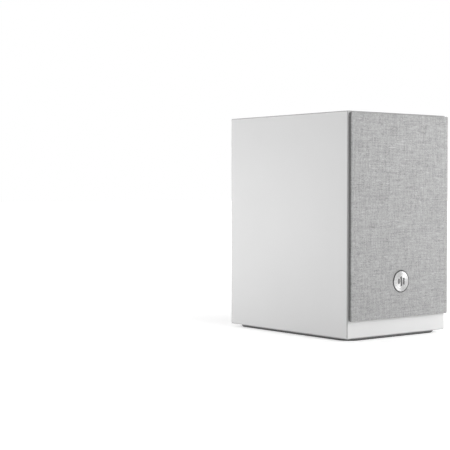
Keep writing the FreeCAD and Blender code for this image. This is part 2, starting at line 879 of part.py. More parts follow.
def amp_panel_screws():
    return screws("amp_panel_screws", panel_screw_places, 3.0, 1.8, 1.5, 11, panel_face, 1)


board_face = rear - size.board_depth
board_back = board_face - size.board_thickness
board_reach = size.panel_width / 2 - 9
board_low = size.panel_low + 48
board_high = size.panel_high - 9
standoff_places = [
    (side * (board_reach - 3), level)
    for side in (-1, 1)
    for level in (board_low + 4, board_high - 4)
]


def amp_board():
    """Amplifier board behind the panel, with its larger chips and the switch behind the button."""
    outline = rectangle(-board_reach, board_reach, board_low, board_high)
    board = slab("amp_circuit_board", "XZ", [outline], board_back, board_face)
    packages = [rectangle_about(-1, board_low + 35, 7, 7), rectangle_about(18, board_low + 21, 6, 3)]
    chips = slab("amp_chips", "XZ", packages, board_face, board_face + 1.4)
    switch = slab("button_switch", "XZ", [rectangle_about(0, 0, 3, 3)], board_face, rear - 4.6,
                  (size.button_x, 0, size.knob_level))
    return group("amp_board", [board.body, chips.body, switch.body])


def amp_standoffs():
    made = []
    for x, z in standoff_places:
        made.append(slab("standoff", "XZ", [Circle(0, 0, 2.5)], board_face, rear, (x, 0, z)).body)
    return group("amp_standoffs", made)


def heat_sink():
    """Finned aluminium block on the inner side of the amplifier board."""
    fins = 7
    pitch = 7.0
    fin_thickness = 2.0
    reach = ((fins - 1) * pitch + fin_thickness) / 2
    low = board_low + 20
    high = low + 30
    sink = slab("heat_sink", "XZ", [rectangle(-reach, reach, low, high)], board_back - 3, board_back)
    starts = [fin * pitch - reach for fin in range(fins)]
    blades = [rectangle(start, start + fin_thickness, low, high) for start in starts]
    return sink.pad("XZ", blades, board_back - 15, board_back - 2.9).body


def transformer():
    """Mains transformer on the floor of the cabinet: laminated core round a wound bobbin."""
    floor = bottom + size.wall
    piece = slab("transformer", "XY", [rectangle(-24, 24, 30, 56)], floor, floor + 40)
    piece.pad("XY", [rounded_rectangle(-15, 15, 24, 62, 3)], floor + 8, floor + 32)
    return piece.body


def mains_inlet():
    """Two-pole inlet: flange, body and a figure-8 cavity around two pins."""
    at = (size.inlet_x, 0, size.inlet_level)
    face = panel_face + 1.6
    inlet = slab("mains_inlet", "XZ", [rounded_rectangle(-13, 13, -8, 8, 1.5)], panel_face, face, at)
    inlet.pad("XZ", [rectangle(-10, 10, -6, 6)], rear - 18, panel_face)
    cavity = rounded_rectangle(-7.9, 7.9, -4, 4, 3.9)
    inlet.pocket("XZ", [cavity], face - 13, face)
    inlet.pocket("XZ", [Circle(x, 0, 1.2) for x in (-4.3, 4.3)], face - 14.5, face - 13)
    pins = slab("mains_pins", "XZ", [Circle(x, 0, 1.15) for x in (-4.3, 4.3)], face - 14.5, face - 3, at)
    return [inlet.body, pins.body]


def power_rocker():
    """Rocker switch: bezel and body, and the rocker on its cross pins, tipped to off."""
    at = (size.rocker_x, 0, size.inlet_level)
    face = panel_face + 1.6
    pivot = panel_face - 0.9
    bezel = rounded_rectangle(-7.5, 7.5, -10.5, 10.5, 1)
    housing = slab("rocker_housing", "XZ", [bezel], panel_face, face, at)
    housing.pad("XZ", [rectangle(-6.3, 6.3, -9.3, 9.3)], rear - 12, panel_face)
    housing.pocket("XZ", [rectangle(-5.4, 5.4, -8.4, 8.4)], rear - 10, face)
    housing.pocket("YZ", [Circle(pivot, 0, 1.3)], -6.3, 6.3)
    paddle = [(-3, -7.4), (2.6, -7.6), via(1.5, 0), (2.6, 7.6), (-3, 7.4), (-4.5, 0)]
    rocker = slab("power_rocker", "YZ", [paddle], -5.1, 5.1, (size.rocker_x, pivot, size.inlet_level))
    rocker.pad("YZ", [Circle(0, 0, 1.2)], -6.1, 6.1)
    rocker.body.Placement.Rotation = FreeCAD.Rotation(FreeCAD.Vector(1, 0, 0), 0)
    rocker.body.setExpression("Placement.Rotation.Angle", "-Sizes.rocker_tilt")
    return [housing.body, rocker.body]


def volume_control():
    """Potentiometer with a nut on its bush, its shaft and the fluted knob."""
    at = (size.knob_x, 0, size.knob_level)
    can = [
        (0, rear - 12), (8.5, rear - 12), (8.5, rear), (3.5, rear), (3.5, panel_face), (6, panel_face),
        (6, panel_face + 2), (3.5, panel_face + 2), (3.5, panel_face + 4), (3.1, panel_face + 4),
        (3.1, rear - 10), (0, rear - 10),
    ]
    shaft = ring(0, 3.0, rear - 9.7, rear + 16)
    radius = size.knob_radius
    cap = rear + 17.6
    knob = [
        (3.0, panel_face + 5), (9, panel_face + 5), (9, panel_face + 0.8), (radius, panel_face + 0.8),
        (radius, cap - 0.8), (radius - 0.8, cap), (0, cap), (0, rear + 16), (3.0, rear + 16),
    ]
    fluted = turned("volume_knob", knob, at)
    flute = fluted.pocket("XZ", [Circle(radius + 0.25, 0, 0.7)], panel_face + 3, cap)
    fluted.repeat(flute, "Y", 36)
    fluted.pocket("XZ", [rectangle(-0.5, 0.5, radius - 6, radius - 1.2)], cap - 0.4, cap)
    return [
        turned("volume_pot", can, at).body,
        turned("volume_shaft", shaft, at).body,
        fluted.body,
    ]


def pair_button():
    """Push button with a collar that keeps it behind the panel."""
    cap = panel_face + 1.8
    outline = [
        (0, rear - 3.6), (5.2, rear - 3.6), (5.2, rear - 0.3), (4, rear - 0.3), (4, cap - 0.5),
        via(3.85, cap - 0.15), (3.5, cap), (0, cap),
    ]
    return turned("pair_button", outline, (size.button_x, 0, size.knob_level)).body


def phono_sockets():
    """Nickel shells with nuts, and the coloured insulators inside them."""
    shell = [
        (3.4, panel_face + 8.6), (4.15, panel_face + 8.6), (4.15, panel_face + 1.2), (6, panel_face + 1.2),
        (6, panel_face), (4.15, panel_face), (4.15, board_face), (3.4, board_face),
    ]
    insert = ring(1.7, 3.4, board_face + 3, panel_face + 8)
    shells = [turned("phono_shell", shell, (x, 0, z)).body for x, z in phono_places]
    inserts = [turned("phono_insert", insert, (x, 0, z)).body for x, z in phono_places]
    return [group("phono_shells", shells), group("phono_inserts", inserts)]


def binding_posts():
    """Moulded plate, two hollow metal stems and a turning cap on each."""
    face = panel_face + 1.8
    at = (size.posts_x, 0, size.posts_level)
    holes = [Circle(side * size.post_pitch / 2, 0, 3.05) for _, side in post_sides]
    plate = slab("post_plate", "XZ", [rounded_rectangle(-23, 23, -12, 12, 2)], panel_face, face, at)
    plate.pad("XZ", [rectangle(-20, 20, -9, 9)], rear - 6, panel_face)
    plate.pocket("XZ", holes, rear - 6, face)
    end = face + 14
    stem = [
        (2.1, end), (3.0, end), (3.0, face + 1.2), (5.6, face + 1.2), (5.6, face), (3.0, face),
        (3.0, rear - 9), (0, rear - 9), (0, end - 12), (2.1, end - 12),
    ]
    cap = [
        (3.1, face + 3), (6.4, face + 3), (6.4, face + 11), (5.6, face + 14.8), (2.5, face + 14.8),
        (2.5, end + 0.2), (3.1, end + 0.2),
    ]
    stems = []
    caps = []
    for colour, side in post_sides:
        place_at = (post_place(side), 0, size.posts_level)
        stems.append(turned("post_stem", stem, place_at).body)
        post_cap = turned(colour + "_post_cap", cap, place_at)
        grip = post_cap.pocket("XZ", [Circle(6.7, 0, 0.8)], face + 3, face + 11)
        caps.append(post_cap.repeat(grip, "Y", 16).body)
    return [plate.body, group("post_stems", stems)] + caps


# ---------------------------------------------------------------- inside


crossover_level = bottom + size.wall
crossover_seat = crossover_level + size.board_thickness


def crossover_board():
    """Board on the cabinet floor with film capacitors and power resistors."""
    board = slab("crossover_circuit_board", "XY", [rectangle(-40, 40, -42, 16)],
                 crossover_level, crossover_seat)
    seat = crossover_seat
    cans = [
        slab("film_capacitor", "XZ", [Circle(0, 0, radius)], y, y + length, (x, 0, seat + radius)).body
        for x, y, radius, length in ((30, -36, 6, 24), (16, -36, 4.5, 20), (31, -8, 4, 18))
    ]
    resistors = slab("resistors", "XY", [rectangle(8, 30, 11.5, 15), rectangle(-8, 4, 11.5, 15)],
                     seat, seat + 6)
    return group("crossover_board", [board.body, resistors.body] + cans)


def crossover_coils():
    """Two air-cored coils, one lying flat and one on its edge."""
    flat_section = ring(7, 15, crossover_seat, crossover_seat + 11)
    flat = turned("flat_coil", flat_section, (-22, -24, 0), "Z")
    upright = turned("upright_coil", ring(4, 10, 0, 12), (-24, 0, crossover_seat + 10))
    return group("crossover_coils", [flat.body, upright.body])


BEND_SHARE = 0.45  # how much of the shorter run beside a corner its bend takes up


def cable(label, points):
    """A cable as straight runs joined by arcs as large as the runs beside them allow."""
    nodes = [FreeCAD.Vector(*[as_dim(part).value for part in point]) for point in points]
    radius = size.cable_radius.value
    edges = []
    start = nodes[0]
    for before, corner, after in zip(nodes, nodes[1:], nodes[2:]):
        incoming = (corner - before).normalize()
        outgoing = (after - corner).normalize()
        turn = incoming.getAngle(outgoing)
        shorter = min(before.distanceToPoint(corner), corner.distanceToPoint(after))
        setback = BEND_SHARE * shorter
        bend = setback / math.tan(turn / 2)
        enter = corner - incoming * setback
        leave = corner + outgoing * setback
        inward = (outgoing - incoming).normalize()
        middle = corner + inward * (bend / math.cos(turn / 2) - bend)
        edges.append(Part.LineSegment(start, enter).toShape())
        edges.append(Part.Arc(enter, middle, leave).toShape())
        start = leave
        print(label, "bend radius %.1f mm" % bend)
    edges.append(Part.LineSegment(start, nodes[-1]).toShape())
    path = Part.Wire(edges)
    length = path.Length
    section = Part.Wire([Part.Circle(nodes[0], nodes[1] - nodes[0], radius).toShape()])
    tube = path.makePipeShell([section], True, True)
    expected = math.pi * radius * radius * length
    if abs(tube.Volume - expected) > 0.01 * expected:
        raise ValueError("%s: the tube's volume is wrong" % label)
    item = DOC.addObject("Part::Feature", label)
    item.Label = label
    item.Shape = tube
    print(label, "length %.0f mm" % length)
    return item


def driver_cables():
    """Leads from the crossover to the terminals of the woofer and of the tweeter."""
    seat = crossover_seat
    tab_end = basket_back + 6
    tab_level = size.woofer_level - 36.4
    woofer = [
        (-4, tab_end, tab_level), (-4, tab_end + 11, tab_level), (-4.4, tab_end + 19.5, tab_level - 8),
        (-5, tab_end + 20.5, tab_level - 22), (-4.5, tab_end + 19.5, seat + 16),
        (-4.5, tab_end + 19.5, seat),
    ]
    yoke_back = tweeter_motor_face + 14
    level = size.tweeter_level
    tweeter = [
        (0, yoke_back, level), (0, yoke_back + 16, level), (-8, yoke_back + 30, level - 8),
        (-24, yoke_back + 47, level - 27), (-42, yoke_back + 64, level - 54),
        (-47, yoke_back + 80, level - 96), (-46, yoke_back + 86, level - 138),
        (-43, yoke_back + 86, seat + 32), (-37, yoke_back + 86, seat + 14), (-37, yoke_back + 86, seat),
    ]
    return [cable("woofer_cable", woofer), cable("tweeter_cable", tweeter)]


# ---------------------------------------------------------------- assembly


def assembly():
    parts = [front_baffle(), rear_panel()]
    parts += side_panels() + level_panels() + base_pieces()
    parts.append(damping_wadding())
    parts += [woofer_basket(), woofer_surround(), woofer_cone(), woofer_dust_cap()]
    parts += [woofer_voice_coil(), woofer_spider(), woofer_terminals(), woofer_screws()]
    parts += woofer_motor()
    parts.append(tweeter_faceplate())
    parts += tweeter_diaphragm() + tweeter_motor()
    parts.append(tweeter_screws())
    parts += [grille_frame(), grille_cloth()]
    parts.append(magnets("grille_magnets", grille_back - size.magnet_thickness))
    parts.append(magnets("baffle_magnets", front))
    parts += badge_pieces()
    parts += [port_tube(), amp_panel(), amp_panel_screws(), amp_board(), amp_standoffs(), heat_sink()]
    parts.append(transformer())
    parts += mains_inlet() + power_rocker() + volume_control()
    parts.append(pair_button())
    parts += phono_sockets() + binding_posts()
    parts += [crossover_board(), crossover_coils()]
    parts += driver_cables()
    return parts


def check(parts):
    """Stops before anything is written if a feature failed or a shape is unsound."""
    for item in DOC.Objects:
        if "Invalid" in item.State or "Error" in item.State:
            raise ValueError("%s failed: %s" % (item.Label, item.State))
    for part in parts:
        if part.Shape.isNull() or not part.Shape.isValid() or part.Shape.Volume <= 0:
            raise ValueError("%s has no sound shape" % part.Label)
    if len({part.Label for part in parts}) != len(parts):
        raise ValueError("two parts share a label")


def write(parts):
    os.makedirs("parts", exist_ok=True)
    for part in parts:
        part.Shape.exportStep(os.path.join("parts", part.Label + ".step"))
    print("%d parts written" % len(parts))


finished = assembly()
DOC.recompute()
check(finished)
write(finished)
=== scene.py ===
"""Looks of the bookshelf speaker: materials, woven grille cloth, soft inner pieces, light and camera.

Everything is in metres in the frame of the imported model: +Z up, the grille facing -Y.
"""
import json
import math

import bmesh
import bpy
from mathutils import Euler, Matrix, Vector, noise


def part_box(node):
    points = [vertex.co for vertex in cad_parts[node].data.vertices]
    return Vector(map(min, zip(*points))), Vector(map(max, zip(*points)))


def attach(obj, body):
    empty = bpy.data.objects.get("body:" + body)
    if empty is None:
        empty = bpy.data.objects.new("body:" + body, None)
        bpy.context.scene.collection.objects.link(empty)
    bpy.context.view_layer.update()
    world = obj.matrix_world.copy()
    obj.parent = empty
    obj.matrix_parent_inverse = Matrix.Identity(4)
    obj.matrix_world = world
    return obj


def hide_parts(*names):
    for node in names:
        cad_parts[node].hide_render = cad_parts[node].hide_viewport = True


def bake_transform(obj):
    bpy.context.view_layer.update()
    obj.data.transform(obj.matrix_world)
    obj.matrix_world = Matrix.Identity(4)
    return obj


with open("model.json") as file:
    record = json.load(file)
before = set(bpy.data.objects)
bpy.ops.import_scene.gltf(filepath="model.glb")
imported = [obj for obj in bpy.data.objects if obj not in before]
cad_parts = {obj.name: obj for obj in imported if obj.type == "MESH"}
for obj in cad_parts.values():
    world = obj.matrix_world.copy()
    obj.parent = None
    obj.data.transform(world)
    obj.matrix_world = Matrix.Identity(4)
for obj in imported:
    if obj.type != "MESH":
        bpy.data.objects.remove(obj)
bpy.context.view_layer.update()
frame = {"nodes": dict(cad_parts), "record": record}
nodes = frame["nodes"]

MM = 0.001
BLACK = (0.0, 0.0, 0.0)
WHITE = (1.0, 1.0, 1.0)


# ---------------------------------------------------------------- node material helpers


class NodeTree:
    """Adds nodes to the tree of a material or a world, and links them."""

    def __init__(self, tree):
        self.tree = tree

    def add(self, kind, inputs=(), **settings):
        """A node of this kind, with its properties set and its inputs linked or filled in."""
        node = self.tree.nodes.new("ShaderNode" + kind)
        for name, value in settings.items():
            setattr(node, name, value)
        for socket, value in dict(inputs).items():
            if isinstance(value, bpy.types.NodeSocket):
                self.tree.links.new(value, node.inputs[socket])
            else:
                node.inputs[socket].default_value = value
        return node

    def math(self, operation, first, second=0.0):
        return self.add("Math", {0: first, 1: second}, operation=operation).outputs[0]

    def choose(self, factor, first, second):
        """Blend of two numbers: the first at factor 0, the second at factor 1."""
        return self.add("Mix", {0: factor, 2: first, 3: second}).outputs[0]

    def mix(self, factor, first, second):
        """Blend of two colours: the first at factor 0, the second at factor 1."""
        inputs = {0: factor, 6: rgba(first), 7: rgba(second)}
        return self.add("Mix", inputs, data_type="RGBA").outputs[2]

    def darkened(self, colour, amount):
        """The colour darkened by a varying amount from 0 to 1."""
        return self.mix(amount, colour, BLACK)

    def ramp(self, value, low, high, to_low=0.0, to_high=1.0, **settings):
        inputs = {"Value": value, 1: low, 2: high, 3: to_low, 4: to_high}
        return self.add("MapRange", inputs, **settings).outputs[0]


class Surface(NodeTree):
    """A node material built around one Principled shader."""

    def __init__(self, name, colour, roughness, metallic=0.0, **settings):
        self.material = bpy.data.materials.new(name)
        self.material.use_nodes = True
        super().__init__(self.material.node_tree)
        self.shader = self.tree.nodes["Principled BSDF"]
        self.shader.inputs["Base Color"].default_value = rgba(colour)
        self.shader.inputs["Roughness"].default_value = roughness
        self.shader.inputs["Metallic"].default_value = metallic
        for socket, value in settings.items():
            self.shader.inputs[socket.replace("_", " ")].default_value = value

    def place(self, scale=(1.0, 1.0, 1.0), turn=(0.0, 0.0, 0.0)):
        """Coordinates on the piece itself, scaled along each axis."""
        coordinates = self.add("TexCoord").outputs["Object"]
        return self.add("Mapping", {"Vector": coordinates, "Scale": scale, "Rotation": turn}).outputs[0]

    def noise(self, scale, detail=3.0, where=None, roughness=0.5):
        where = where or self.place()
        inputs = {"Vector": where, "Scale": scale, "Detail": detail, "Roughness": roughness}
        return self.add("TexNoise", inputs).outputs[0]

    def feed(self, socket, value):
        """Drives one input of the shader."""
        self.tree.links.new(value, self.shader.inputs[socket])

    def bump(self, height, distance, strength=1.0):
        inputs = {"Height": height, "Distance": distance, "Strength": strength}
        self.feed("Normal", self.add("Bump", inputs).outputs[0])


def rgba(colour):
    """A colour with full alpha; the output of a node is passed on as it is."""
    if isinstance(colour, bpy.types.NodeSocket):
        return colour
    return (*colour, 1.0)


def shade(colour, factor):
    return tuple(part * factor for part in colour)


def moulded(name, colour, roughness, grain=0.25, **settings):
    """Moulded plastic or rubber: faint colour drift, fine spark-eroded grain, uneven gloss."""
    surface = Surface(name, colour, roughness, **settings)
    drift = surface.ramp(surface.noise(60.0), 0.3, 0.7)
    surface.feed("Base Color", surface.mix(drift, shade(colour, 0.9), shade(colour, 1.08)))
    texture = surface.noise(1800.0, detail=2.0)
    duller = min(1.0, roughness * 1.1)
    surface.feed("Roughness", surface.ramp(texture, 0.2, 0.8, roughness * 0.9, duller))
    surface.bump(texture, grain * 0.1 * MM, 0.6)
    return surface.material


def metal(name, colour, roughness, grain=(1.0, 1.0, 1.0), depth=0.02, **settings):
    """Metal with a grain: equal scales give a blasted finish, a small one gives brush lines along it."""
    surface = Surface(name, colour, roughness, metallic=1.0, **settings)
    lines = surface.noise(1500.0, detail=3.0, where=surface.place(scale=grain))
    surface.feed("Base Color", surface.mix(lines, shade(colour, 0.86), shade(colour, 1.1)))
    surface.feed("Roughness", surface.ramp(lines, 0.25, 0.75, roughness * 0.8, roughness * 1.25))
    surface.bump(lines, depth * MM, 0.5)
    return surface.material


def cabinet_box():
    """Lowest and highest corner of the six lacquered panels together."""
    walls = ("left_side", "right_side", "top", "bottom", "rear")
    boxes = [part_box("front_baffle")] + [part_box(wall + "_panel") for wall in walls]
    low = Vector([min(box[0][axis] for box in boxes) for axis in range(3)])
    high = Vector([max(box[1][axis] for box in boxes) for axis in range(3)])
    return low, high


def distance_from_edges(surface, low, high):
    """How far a point on the faces of a box is from the nearest edge of the box."""
    centre = (low + high) / 2
    reach = (high - low) / 2
    place = surface.add("SeparateXYZ", {0: surface.add("TexCoord").outputs["Object"]})
    insets = []
    for axis, name in enumerate("XYZ"):
        offset = surface.math("SUBTRACT", place.outputs[name], centre[axis])
        insets.append(surface.math("SUBTRACT", reach[axis], surface.math("ABSOLUTE", offset)))
    nearer = surface.math("MINIMUM", insets[0], insets[1])
    further = surface.math("MAXIMUM", insets[0], insets[1])
    return surface.math("MAXIMUM", nearer, surface.math("MINIMUM", further, insets[2]))


def lacquer(name):
    """Satin white lacquer: a trace of orange peel, and painted shade that darkens it on the rounded
    edges.
    """
    colour = (0.655, 0.655, 0.655)
    surface = Surface(name, colour, 0.42, Specular_IOR_Level=0.35)
    drift = surface.ramp(surface.noise(9.0, detail=2.0), 0.3, 0.7)
    even = surface.mix(drift, shade(colour, 0.985), shade(colour, 1.01))
    to_edge = distance_from_edges(surface, *cabinet_box())
    # painted shade: the colour darkens by up to 0.38 within about a millimetre of every edge of the
    # cabinet box
    painted_edge_shade = surface.ramp(to_edge, 0.5 * MM, 1.3 * MM, 0.38, 0.0)
    surface.feed("Base Color", surface.darkened(even, painted_edge_shade))
    peel = surface.noise(420.0, detail=1.0)
    surface.feed("Roughness", surface.ramp(peel, 0.3, 0.7, 0.38, 0.46))
    surface.bump(peel, 0.02 * MM, 0.25)
    return surface.material


def spun(name, colour):
    """Turned face: fine rings round the middle of the piece, highlights that fan out from it."""
    surface = Surface(name, colour, 0.22, metallic=1.0, Anisotropic=0.85, Anisotropic_Rotation=0.25)
    low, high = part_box("badge_disc")
    middle = (low + high) / 2
    centred = surface.add("VectorMath", {0: surface.place(), 1: middle}, operation="SUBTRACT").outputs[0]
    split = surface.add("SeparateXYZ", {0: centred})
    in_plane = surface.add("CombineXYZ", {0: split.outputs["X"], 1: split.outputs["Z"]}).outputs[0]
    radius = surface.add("VectorMath", {0: in_plane}, operation="LENGTH").outputs["Value"]
    outward = surface.add("CombineXYZ", {0: radius}).outputs[0]
    rings = surface.noise(9000.0, detail=2.0, where=outward)
    surface.feed("Base Color", surface.mix(rings, shade(colour, 0.9), shade(colour, 1.1)))
    surface.feed("Roughness", surface.ramp(rings, 0.3, 0.7, 0.18, 0.28))
    surface.bump(rings, 0.01 * MM, 0.4)
    tangent = surface.add("Tangent", direction_type="RADIAL", axis="Y").outputs[0]
    surface.feed("Tangent", tangent)
    return surface.material


def wound(name, colour, axis, pitch=0.35 * MM):
    """Enamelled wire laid turn beside turn along an axis."""
    surface = Surface(name, colour, 0.3, metallic=0.9)
    split = surface.add("SeparateXYZ", {0: surface.place()})
    phase = surface.math("MULTIPLY", split.outputs[axis], 2 * math.pi / pitch)
    turns = surface.math("SINE", phase)
    # painted shade: the colour darkens to 0.45 of itself in the grooves between the turns
    surface.feed("Base Color", surface.mix(surface.ramp(turns, -1, 1), shade(colour, 0.45), colour))
    surface.bump(turns, pitch * 0.3, 0.8)
    return surface.material


def fibrous(name, colour, roughness, scale, depth, sheen=0.2):
    """Felted or woven fibre with no visible threads: paper, doped silk, impregnated cotton."""
    surface = Surface(name, colour, roughness, Sheen_Weight=sheen)
    fibres = surface.noise(scale, detail=6.0, roughness=0.65)
    tone = surface.ramp(fibres, 0.3, 0.7)
    surface.feed("Base Color", surface.mix(tone, shade(colour, 0.75), shade(colour, 1.2)))
    surface.bump(fibres, depth * MM, 0.8)
    return surface.material


def circuit_board(name):
    """Green solder mask over copper tracks."""
    mask = (0.012, 0.11, 0.045)
    surface = Surface(name, mask, 0.35)
    tracks = surface.add("TexBrick", {
        "Vector": surface.place(turn=(math.radians(90), 0, 0)), "Scale": 160.0, "Mortar Size": 0.03,
        "Color1": rgba(mask), "Color2": rgba(shade(mask, 1.25)), "Mortar": rgba(shade(mask, 0.55)),
    })
    surface.feed("Base Color", tracks.outputs["Color"])
    surface.bump(tracks.outputs["Fac"], 0.05 * MM, 0.4)
    return surface.material


def phono_colours(name):
    """Insulators coloured by socket: red and white above, black for the lower one."""
    low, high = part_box("phono_inserts")
    middle = (low + high) / 2
    surface = Surface(name, (0.6, 0.02, 0.02), 0.35)
    split = surface.add("SeparateXYZ", {0: surface.place()})
    right = surface.math("GREATER_THAN", split.outputs["X"], middle.x)
    lower = surface.math("LESS_THAN", split.outputs["Z"], middle.z)
    upper_pair = surface.mix(right, (0.78, 0.78, 0.76), (0.55, 0.015, 0.015))
    surface.feed("Base Color", surface.mix(lower, upper_pair, (0.02, 0.02, 0.02)))
    surface.bump(surface.noise(900.0), 0.02 * MM, 0.4)
    return surface.material


# ---------------------------------------------------------------- grille cloth


WEFT_PITCH = 1.00 * MM
WARP_PITCH = 1.00 * MM
YARN_STEP = 7.31  # step through the noise from yarn to yarn, so that neighbours are unrelated
DARK_YARN = (0.262, 0.262, 0.262)
LIGHT_YARN = (0.535, 0.535, 0.535)


def yarn_tone(surface, number, place, length, pitch, seed):
    """Tone of one yarn: its own level, drifting along its length."""
    spot = surface.add("CombineXYZ", {
        0: surface.math("MULTIPLY", place, pitch / length),
        1: surface.math("MULTIPLY", number, YARN_STEP),
        2: seed,
    }).outputs[0]
    return surface.noise(1.0, detail=1.0, where=spot)


def yarn_profile(surface, place):
    """Rounded section of a yarn: 1 on its ridge, 0 in the groove beside it."""
    off_centre = surface.math("SUBTRACT", surface.math("FRACT", place), 0.5)
    squared = surface.math("MULTIPLY", off_centre, off_centre)
    return surface.math("SUBTRACT", 1.0, surface.math("MULTIPLY", 4.0, squared))


def weave_relief(surface, across, along, weft_on_top):
    """Height of the yarn on top at each crossing, lower towards the ends where it dives under."""
    warp = yarn_profile(surface, across)
    weft = yarn_profile(surface, along)
    warp_height = surface.math("MULTIPLY", warp, surface.ramp(weft, 0, 1, 0.55, 1.0))
    weft_height = surface.math("MULTIPLY", weft, surface.ramp(warp, 0, 1, 0.55, 1.0))
    return surface.choose(weft_on_top, warp_height, weft_height)


def weave_tone(surface, across, along, column, row, weft_on_top):
    """Tone at each crossing, from 0 to 1: both yarns, a speckle, and slubs along the weft."""
    warp = surface.ramp(yarn_tone(surface, column, along, 20 * MM, WEFT_PITCH, 2.0), 0.34, 0.66)
    weft = surface.ramp(yarn_tone(surface, row, across, 24 * MM, WARP_PITCH, 9.0), 0.34, 0.66)
    cell = surface.add("CombineXYZ", {0: column, 1: row}).outputs[0]
    speckle = surface.add("TexWhiteNoise", {"Vector": cell}, noise_dimensions="2D").outputs["Value"]
    top = surface.math("MULTIPLY", surface.choose(weft_on_top, warp, weft), 0.30)
    under = surface.math("MULTIPLY", surface.choose(weft_on_top, weft, warp), 0.20)
    speck = surface.math("MULTIPLY", speckle, 0.42)
    even = surface.math("ADD", top, surface.math("ADD", under, speck))
    slub = yarn_tone(surface, row, across, 9 * MM, WARP_PITCH, 30.0)
    thick = surface.ramp(slub, 0.64, 0.72, 0.0, 0.34)
    thin = surface.ramp(slub, 0.28, 0.36, 0.22, 0.0)
    return surface.math("ADD", even, surface.math("SUBTRACT", thick, thin))


def woven_melange(name):
    """Linen-like plain weave: thick grey yarns of uneven tone crossing at right angles.

    The pattern follows the cloth's own unrolled coordinates, so it runs on round the frame's edges.
    """
    surface = Surface(name, (0.4, 0.4, 0.4), 0.92, Sheen_Weight=0.15, Sheen_Roughness=0.5,
                      Specular_IOR_Level=0.15)
    flat = surface.add("SeparateXYZ", {0: surface.add("UVMap", uv_map="flat").outputs[0]})
    across = surface.math("DIVIDE", flat.outputs["X"], WARP_PITCH)
    along = surface.math("DIVIDE", flat.outputs["Y"], WEFT_PITCH)
    column = surface.math("FLOOR", across)
    row = surface.math("FLOOR", along)
    weft_on_top = surface.math("PINGPONG", surface.math("ADD", column, row), 1.0)
    ridge = weave_relief(surface, across, along, weft_on_top)
    tone = weave_tone(surface, across, along, column, row, weft_on_top)
    # painted shade: the colour is up to 30% darker, mixed towards near-black, in the grooves between the
    # yarns
    painted_groove_shade = surface.ramp(ridge, 0.0, 0.7, 0.7, 1.0)
    colour = surface.mix(painted_groove_shade, (0.02, 0.02, 0.02), surface.mix(tone, DARK_YARN, LIGHT_YARN))
    # painted shade: the cloth darkens by up to 0.62 on the frame's sides, just behind its front face
    low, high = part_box("grille_cloth")
    depth = surface.add("SeparateXYZ", {0: surface.add("TexCoord").outputs["Object"]}).outputs["Y"]
    painted_side_shade = surface.ramp(depth, low.y + 0.7 * MM, low.y + 1.2 * MM, 0.0, 0.62)
    surface.feed("Base Color", surface.darkened(colour, painted_side_shade))
    surface.bump(ridge, 0.25 * MM, 0.6)
    return surface.material


CLOTH_POINTS = 256
CLOTH_THICKNESS = 0.35 * MM
FRONT_BANDS = 14
ROUND_STEPS = 5
FRONT_ROUND = 1.0 * MM
BACK_ROUND = 1.9 * MM
FRONT_CORNER = 0.2 * MM
SIDE_CORNER = FRONT_CORNER + FRONT_ROUND
TUCKED_CORNER = 0.3 * MM
GLUED_STRIP = 5 * MM
BADGE_DISH = ((0.0, 0.45 * MM), (0.25 * MM, 0.1 * MM), (0.7 * MM, 0.0), (2 * MM, 0.0), (5 * MM, 0.0))


def outline_point(half_width, half_height, corner, step):
    """Point number step of CLOTH_POINTS round a rounded rectangle."""
    per_side = CLOTH_POINTS // 4
    side, place = divmod(step, per_side)
    straight_x = half_width - corner
    straight_z = half_height - corner
    lines = (
        ((straight_x, -straight_z), (straight_x, straight_z)),
        ((straight_x, straight_z), (-straight_x, straight_z)),
        ((-straight_x, straight_z), (-straight_x, -straight_z)),
        ((-straight_x, -straight_z), (straight_x, -straight_z)),
    )
    start, end = lines[side]
    heading = 90.0 * side
    share = place / per_side
    bend = 4 / per_side
    run = min(1.0, share / (1 - bend))
    turn = heading + 90.0 * max(0.0, share - (1 - bend)) / bend
    base_x = start[0] + (end[0] - start[0]) * run
    base_z = start[1] + (end[1] - start[1]) * run
    angle = math.radians(turn)
    return base_x + corner * math.cos(angle), base_z + corner * math.sin(angle)


def laid_outward(place, half_size, corner, spread):
    """How far a point of a ring moves out along one axis when the cloth is laid flat."""
    on_this_side = abs(place) > half_size - corner * 1.01 - 0.001 * MM
    if not on_this_side:
        return 0.0
    return spread * max(-1.0, min(1.0, place / (half_size * 0.999)))


def linked_piece(mesh, name):
    """A piece in the scene, made from a finished bmesh."""
    data = bpy.data.meshes.new(name)
    mesh.to_mesh(data)
    mesh.free()
    piece = bpy.data.objects.new(name, data)
    bpy.context.scene.collection.objects.link(piece)
    return piece


class ClothBuilder:
    """Builds the stretched cloth ring by ring, keeping how far each point is when laid flat."""

    def __init__(self, centre):
        self.mesh = bmesh.new()
        self.centre = centre
        self.flat = self.mesh.loops.layers.uv.new("flat")
        self.laid = {}

    def point(self, x, y, z, flat_x, flat_z):
        vertex = self.mesh.verts.new((self.centre.x + x, y, self.centre.z + z))
        self.laid[vertex] = (flat_x, flat_z)
        return vertex

    def ring(self, half_width, half_height, corner, y, spread):
        """One closed ring; spread is how much further out it would lie flat."""
        made = []
        for step in range(CLOTH_POINTS):
            x, z = outline_point(half_width, half_height, corner, step)
            flat_x = x + laid_outward(x, half_width, corner, spread)
            flat_z = z + laid_outward(z, half_height, corner, spread)
            made.append(self.point(x, y, z, flat_x, flat_z))
        return made

    def join(self, inner, outer):
        """A band of faces between two rings."""
        for step in range(CLOTH_POINTS):
            following = (step + 1) % CLOTH_POINTS
            self.mesh.faces.new((inner[step], inner[following], outer[following], outer[step]))

    def finish(self, name):
        for face in self.mesh.faces:
            face.smooth = True
            for loop in face.loops:
                loop[self.flat].uv = self.laid[loop.vert]
        bmesh.ops.recalc_face_normals(self.mesh, faces=self.mesh.faces)
        return linked_piece(self.mesh, name)


